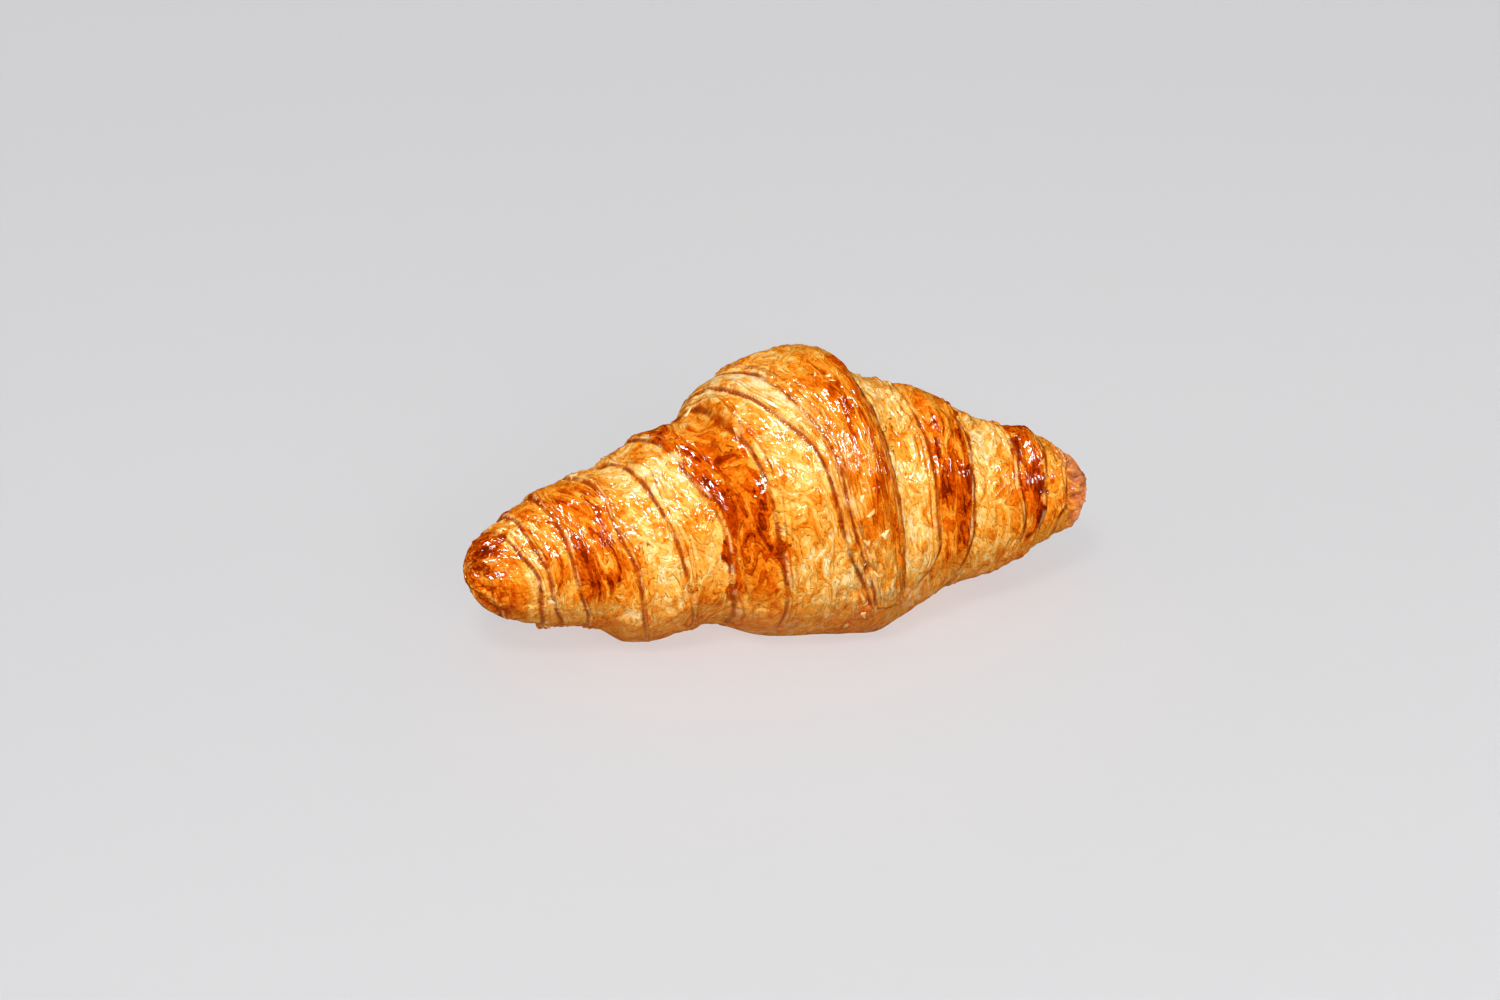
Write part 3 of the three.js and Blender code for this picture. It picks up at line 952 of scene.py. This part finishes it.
flakes = bpy.data.objects.new("loose_flakes", crust.data.copy())
bpy.context.scene.collection.objects.link(flakes)
flake_values = dict(FLAKE_INPUTS)
flake_values["Flake"] = one_flake()
flake_values["Material"] = flake_material()
grow(flakes, scattered_flakes(), flake_values)
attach(flakes, "root")

# ----------------------------------------------------------------------------------------------
# Where it is shown: a plain pale tabletop in even daylight, one soft key lamp, small lamps that
# are only seen as glints in the egg wash, a fill lamp in front, and a camera that looks down on
# the front.
# ----------------------------------------------------------------------------------------------

# Metres, apart from the lens and sensor, which are in millimetres. The camera looks at a place in
# the middle of the croissant.
TABLE_HALF = 30.0
TABLE_DROP = 0.0002
TABLE_COLOUR = srgb(184, 184, 186)
TABLE_ROUGHNESS = 0.9
TABLE_SHEEN = 0.1
CAMERA_AZIMUTH = math.radians(-17)
CAMERA_ELEVATION = math.radians(28)
CAMERA_DISTANCE = 0.9
CAMERA_LENS = 84.8
CAMERA_SENSOR = 36.0
CAMERA_AIM = (-0.0083, -0.0075, 0.034)
ROOM_LIGHT = 0.25
DAYLIGHT = 3.4
DAYLIGHT_FROM = (-0.30, -0.38, 0.90)
DAYLIGHT_SPREAD = math.radians(8)
DAY_TINT = (1.0, 0.99, 0.98)
ROOM_TINT = DAY_TINT + (1.0,)
GLOSS_TINT = (1.0, 0.95, 0.90)

# Lamps as (name, place, width, power, duty). A "shadow" lamp casts the soft shadow, a "gloss" lamp
# is only reflected, and a "fill" lamp is never reflected.
LAMPS = [
    ("key", (-0.35, -0.60, 1.00), 0.25, 2.1, "shadow"),
    ("gloss_left", (-0.50, -0.40, 0.85), 0.17, 5.6, "gloss"),
    ("gloss_front", (0.10, -0.55, 0.85), 0.15, 4.4, "gloss"),
    ("gloss_right", (0.75, -0.45, 0.70), 0.15, 4.4, "gloss"),
    ("gloss_back_left", (-0.35, 0.30, 0.95), 0.20, 9.5, "gloss"),
    ("gloss_back_right", (0.30, 0.25, 1.00), 0.18, 8.0, "gloss"),
    ("front_fill", (0.10, -1.10, 0.45), 0.50, 5.0, "fill"),
]

table_mesh = bpy.data.meshes.new("tabletop")
sides = [(-1, -1), (1, -1), (1, 1), (-1, 1)]
corners = [(x * TABLE_HALF, y * TABLE_HALF, -TABLE_DROP) for x, y in sides]
table_mesh.from_pydata(corners, [], [(0, 1, 2, 3)])
tabletop = bpy.data.objects.new("tabletop", table_mesh)
bpy.context.scene.collection.objects.link(tabletop)
table_material = bpy.data.materials.new("pale_tabletop")
table_material.use_nodes = True
table_skin = table_material.node_tree.nodes["Principled BSDF"]
table_skin.inputs["Base Color"].default_value = TABLE_COLOUR
table_skin.inputs["Roughness"].default_value = TABLE_ROUGHNESS
table_skin.inputs["Specular IOR Level"].default_value = TABLE_SHEEN
table_mesh.materials.append(table_material)
tabletop.visible_glossy = False

daylight = bpy.data.lights.new("daylight", "SUN")
daylight.energy = DAYLIGHT
daylight.angle = DAYLIGHT_SPREAD
daylight.use_shadow = False
window = bpy.data.objects.new("daylight", daylight)
bpy.context.scene.collection.objects.link(window)
window.location = DAYLIGHT_FROM
window.rotation_euler = (-window.location).to_track_quat("-Z", "Y").to_euler()

for name, place_at, width, power, duty in LAMPS:
    light = bpy.data.lights.new(name, "AREA")
    light.size = width
    light.energy = power
    light.color = GLOSS_TINT if duty == "gloss" else DAY_TINT
    light.use_shadow = duty == "shadow"
    lamp = bpy.data.objects.new(name, light)
    bpy.context.scene.collection.objects.link(lamp)
    lamp.location = place_at
    lamp.rotation_euler = (-lamp.location).to_track_quat("-Z", "Y").to_euler()
    lamp.visible_diffuse = duty != "gloss"
    lamp.visible_glossy = duty != "fill"

world = bpy.data.worlds.new("room")
world.use_nodes = True
world.node_tree.nodes["Background"].inputs["Color"].default_value = ROOM_TINT
world.node_tree.nodes["Background"].inputs["Strength"].default_value = ROOM_LIGHT
world.cycles_visibility.glossy = False
bpy.context.scene.world = world

camera_data = bpy.data.cameras.new("camera")
camera_data.lens = CAMERA_LENS
camera_data.sensor_width = CAMERA_SENSOR
camera = bpy.data.objects.new("camera", camera_data)
bpy.context.scene.collection.objects.link(camera)
back = (
    math.sin(CAMERA_AZIMUTH) * math.cos(CAMERA_ELEVATION),
    -math.cos(CAMERA_AZIMUTH) * math.cos(CAMERA_ELEVATION),
    math.sin(CAMERA_ELEVATION),
)
camera.location = [aim + CAMERA_DISTANCE * step for aim, step in zip(CAMERA_AIM, back)]
camera.rotation_euler = (math.pi / 2 - CAMERA_ELEVATION, 0, CAMERA_AZIMUTH)
bpy.context.scene.camera = camera
bpy.context.scene.view_settings.view_transform = "Standard"
